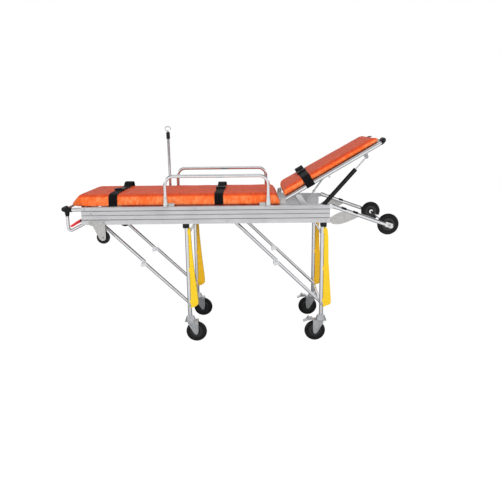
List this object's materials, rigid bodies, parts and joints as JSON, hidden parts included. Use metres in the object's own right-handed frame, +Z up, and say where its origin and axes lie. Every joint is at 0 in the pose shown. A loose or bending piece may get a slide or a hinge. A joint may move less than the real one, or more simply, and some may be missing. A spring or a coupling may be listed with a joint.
{
  "type": "stretcher trolley",
  "caption": "Wheeled stretcher trolley with folding castor legs, tilting padded backrest, fold-down guard rails, pole, loading wheels and a flat orange mattress.",
  "frame": {"origin": "bottom centre of the whole trolley's box at rest, on the floor under the castors", "axes": "+X towards the head end (raised backrest and loading wheels), +Y towards the side with the pole, +Z up"},
  "size_m": [1.9518, 0.5884, 1.2759],
  "materials": {
    "rail": "extruded, satin silver",
    "plate_alu": "cast and cut plate, satin",
    "panel": "sheet, satin",
    "chrome_tube": "bright polished tube",
    "leg_tube": "polished tube",
    "zinc": "zinc plated",
    "black_steel": "satin black",
    "black_plastic": "moulded black",
    "grip": "soft black grip",
    "red_plastic": "moulded red",
    "yellow_guide": "moulded yellow",
    "tyre": "black tyre and hub",
    "vinyl": "orange coated vinyl",
    "webbing": "black woven webbing"
  },
  "bodies": {
    "main_frame": {"side_rail_near": "rail", "side_rail_far": "rail", "cross_members": "rail", "deck_panel": "panel", "foot_handle": "chrome_tube", "foot_handle_grips": "grip", "lower_handles": "chrome_tube", "lower_handle_boots": "black_plastic", "lever_brackets": "black_plastic", "rest_wheel_brackets": "plate_alu", "leg_pivot_blocks": "black_plastic", "loading_arms": "chrome_tube", "skid_plates": "plate_alu", "skid_clamps": "black_plastic", "loading_axle": "chrome_tube", "iv_outer_tube": "chrome_tube", "guard_rail_brackets": "plate_alu", "backrest_hinges": "plate_alu", "seat_pad": "vinyl", "seat_straps": "webbing", "strap_buckles": "black_plastic", "frame_fasteners": "zinc", "floor_lock_studs": "zinc"},
    "release_lever_near": {"release_lever_near": "red_plastic"},
    "release_lever_far": {"release_lever_far": "red_plastic"},
    "rest_wheel_near": {"rest_wheel_near": "tyre"},
    "rest_wheel_far": {"rest_wheel_far": "tyre"},
    "front_leg": {"front_leg_frame": "leg_tube", "front_guide_shoes": "yellow_guide"},
    "rear_leg": {"rear_leg_frame": "leg_tube", "rear_guide_shoes": "yellow_guide"},
    "front_strut_upper": {"front_strut_upper": "leg_tube"},
    "front_strut_lower": {"front_strut_lower": "leg_tube"},
    "rear_strut_upper": {"rear_strut_upper": "leg_tube"},
    "rear_strut_lower": {"rear_strut_lower": "leg_tube"},
    "loading_wheel_near": {"loading_wheel_near": "tyre"},
    "loading_wheel_far": {"loading_wheel_far": "tyre"},
    "iv_collar": {"iv_lock_collar": "black_plastic"},
    "iv_pole": {"iv_pole": "chrome_tube"},
    "guard_rail_near": {"guard_rail_near": "chrome_tube"},
    "guard_rail_far": {"guard_rail_far": "chrome_tube"},
    "backrest": {"backrest_frame": "chrome_tube", "backrest_grips": "grip", "backrest_deck": "panel", "backrest_pad": "vinyl", "backrest_strap": "webbing"},
    "gas_rod": {"gas_spring_rod": "chrome_tube"},
    "gas_cylinder": {"gas_spring_cylinder": "black_steel"},
    "stay_tube": {"stay_tube": "chrome_tube"},
    "stay_rod": {"stay_rod": "chrome_tube"},
    "castor_front_near": {"castor_fork_front_near": "zinc"},
    "castor_wheel_front_near": {"castor_wheel_front_near": "tyre"},
    "castor_front_far": {"castor_fork_front_far": "zinc"},
    "castor_wheel_front_far": {"castor_wheel_front_far": "tyre"},
    "castor_rear_near": {"castor_fork_rear_near": "zinc"},
    "castor_wheel_rear_near": {"castor_wheel_rear_near": "tyre"},
    "castor_rear_far": {"castor_fork_rear_far": "zinc"},
    "castor_wheel_rear_far": {"castor_wheel_rear_far": "tyre"},
    "brake_pedal_near": {"brake_pedal_near": "zinc"},
    "brake_pedal_far": {"brake_pedal_far": "zinc"}
  },
  "joints": [
    {"name": "front_leg_fold", "type": "hinge", "parent": "main_frame", "child": "front_leg", "pos_m": [-0.2473, 0, 0.72], "axis": [0, 1, 0], "range_deg": [0, 90]},
    {"name": "front_strut_top_pivot", "type": "hinge", "parent": "main_frame", "child": "front_strut_upper", "pos_m": [-0.7623, 0, 0.791], "axis": [0, 1, 0], "range_deg": [-44.5, 0]},
    {"name": "front_strut_knee_pivot", "type": "hinge", "parent": "front_leg", "child": "front_strut_lower", "pos_m": [-0.2493, 0, 0.234], "axis": [0, 1, 0], "range_deg": [0, 49]},
    {"name": "castor_swivel_front_near", "type": "hinge", "parent": "front_leg", "child": "castor_front_near", "pos_m": [-0.2473, -0.2265, 0.15], "axis": [0, 0, 1], "continuous": true},
    {"name": "castor_roll_front_near", "type": "hinge", "parent": "castor_front_near", "child": "castor_wheel_front_near", "pos_m": [-0.2113, -0.2265, 0.0625], "axis": [0, 1, 0], "continuous": true},
    {"name": "castor_swivel_front_far", "type": "hinge", "parent": "front_leg", "child": "castor_front_far", "pos_m": [-0.2473, 0.2265, 0.15], "axis": [0, 0, 1], "continuous": true},
    {"name": "castor_roll_front_far", "type": "hinge", "parent": "castor_front_far", "child": "castor_wheel_front_far", "pos_m": [-0.2113, 0.2265, 0.0625], "axis": [0, 1, 0], "continuous": true},
    {"name": "rear_leg_fold", "type": "hinge", "parent": "main_frame", "child": "rear_leg", "pos_m": [0.5407, 0, 0.72], "axis": [0, 1, 0], "range_deg": [0, 90]},
    {"name": "rear_strut_top_pivot", "type": "hinge", "parent": "main_frame", "child": "rear_strut_upper", "pos_m": [0.0257, 0, 0.791], "axis": [0, 1, 0], "range_deg": [-44.5, 0]},
    {"name": "rear_strut_knee_pivot", "type": "hinge", "parent": "rear_leg", "child": "rear_strut_lower", "pos_m": [0.5387, 0, 0.234], "axis": [0, 1, 0], "range_deg": [0, 49]},
    {"name": "castor_swivel_rear_near", "type": "hinge", "parent": "rear_leg", "child": "castor_rear_near", "pos_m": [0.5407, -0.2265, 0.15], "axis": [0, 0, 1], "continuous": true},
    {"name": "castor_roll_rear_near", "type": "hinge", "parent": "castor_rear_near", "child": "castor_wheel_rear_near", "pos_m": [0.5047, -0.2265, 0.0625], "axis": [0, 1, 0], "continuous": true},
    {"name": "castor_swivel_rear_far", "type": "hinge", "parent": "rear_leg", "child": "castor_rear_far", "pos_m": [0.5407, 0.2265, 0.15], "axis": [0, 0, 1], "continuous": true},
    {"name": "castor_roll_rear_far", "type": "hinge", "parent": "castor_rear_far", "child": "castor_wheel_rear_far", "pos_m": [0.5047, 0.2265, 0.0625], "axis": [0, 1, 0], "continuous": true},
    {"name": "brake_near", "type": "hinge", "parent": "castor_rear_near", "child": "brake_pedal_near", "pos_m": [0.4887, -0.2265, 0.138], "axis": [0, -1, 0], "range_deg": [0, 12]},
    {"name": "brake_far", "type": "hinge", "parent": "castor_rear_far", "child": "brake_pedal_far", "pos_m": [0.4887, 0.2265, 0.138], "axis": [0, -1, 0], "range_deg": [0, 12]},
    {"name": "rest_wheel_roll_near", "type": "hinge", "parent": "main_frame", "child": "rest_wheel_near", "pos_m": [-0.7243, -0.2701, 0.659], "axis": [0, 1, 0], "continuous": true},
    {"name": "loading_wheel_roll_near", "type": "hinge", "parent": "main_frame", "child": "loading_wheel_near", "pos_m": [0.9144, -0.2392, 0.713], "axis": [0, 1, 0], "continuous": true},
    {"name": "release_lever_squeeze_near", "type": "hinge", "parent": "main_frame", "child": "release_lever_near", "pos_m": [-0.8773, -0.155, 0.7385], "axis": [0, -1, 0], "range_deg": [0, 5]},
    {"name": "guard_rail_fold_near", "type": "hinge", "parent": "main_frame", "child": "guard_rail_near", "pos_m": [-0.0658, -0.289, 0.838], "axis": [1, 0, 0], "range_deg": [0, 180]},
    {"name": "rest_wheel_roll_far", "type": "hinge", "parent": "main_frame", "child": "rest_wheel_far", "pos_m": [-0.7243, 0.2701, 0.659], "axis": [0, 1, 0], "continuous": true},
    {"name": "loading_wheel_roll_far", "type": "hinge", "parent": "main_frame", "child": "loading_wheel_far", "pos_m": [0.9144, 0.2392, 0.713], "axis": [0, 1, 0], "continuous": true},
    {"name": "release_lever_squeeze_far", "type": "hinge", "parent": "main_frame", "child": "release_lever_far", "pos_m": [-0.8773, 0.155, 0.7385], "axis": [0, -1, 0], "range_deg": [0, 5]},
    {"name": "guard_rail_fold_far", "type": "hinge", "parent": "main_frame", "child": "guard_rail_far", "pos_m": [-0.0658, 0.289, 0.838], "axis": [-1, 0, 0], "range_deg": [0, 180]},
    {"name": "backrest_tilt", "type": "hinge", "parent": "main_frame", "child": "backrest", "pos_m": [0.3122, 0, 0.859], "axis": [0, -1, 0], "range_deg": [-30, 45]},
    {"name": "gas_spring_pivot", "type": "hinge", "parent": "backrest", "child": "gas_rod", "pos_m": [0.7817, -0.215, 1.094], "axis": [0, -1, 0], "range_deg": [-5, 7]},
    {"name": "gas_spring_slide", "type": "slide", "parent": "gas_rod", "child": "gas_cylinder", "axis": [-0.661, 0, -0.7504], "range_m": [-0.0826, 0.1239]},
    {"name": "stay_pivot", "type": "hinge", "parent": "backrest", "child": "stay_tube", "pos_m": [0.6837, 0.214, 1.06], "axis": [0, -1, 0], "range_deg": [-1, 1.2]},
    {"name": "stay_slide", "type": "slide", "parent": "stay_tube", "child": "stay_rod", "axis": [-0.5832, 0, -0.8123], "range_m": [-0.0841, 0.1262]},
    {"name": "iv_pole_slide", "type": "slide", "parent": "main_frame", "child": "iv_pole", "axis": [0, 0, 1], "range_m": [0, 0.3]},
    {"name": "iv_collar_twist", "type": "hinge", "parent": "main_frame", "child": "iv_collar", "pos_m": [-0.4083, 0.27, 1.216], "axis": [0, 0, 1], "range_deg": [0, 60]}
  ],
  "couplings": [
    {"joint": "front_strut_top_pivot", "follows": "front_leg_fold", "ratio": -0.4862},
    {"joint": "front_strut_knee_pivot", "follows": "front_leg_fold", "ratio": 0.5352},
    {"joint": "rear_strut_top_pivot", "follows": "rear_leg_fold", "ratio": -0.4862},
    {"joint": "rear_strut_knee_pivot", "follows": "rear_leg_fold", "ratio": 0.5352},
    {"joint": "gas_spring_pivot", "follows": "backrest_tilt", "ratio": 0.15},
    {"joint": "gas_spring_slide", "follows": "backrest_tilt", "m_per_rad": 0.15756},
    {"joint": "stay_pivot", "follows": "backrest_tilt", "ratio": 0.02},
    {"joint": "stay_slide", "follows": "backrest_tilt", "m_per_rad": 0.16043}
  ]
}
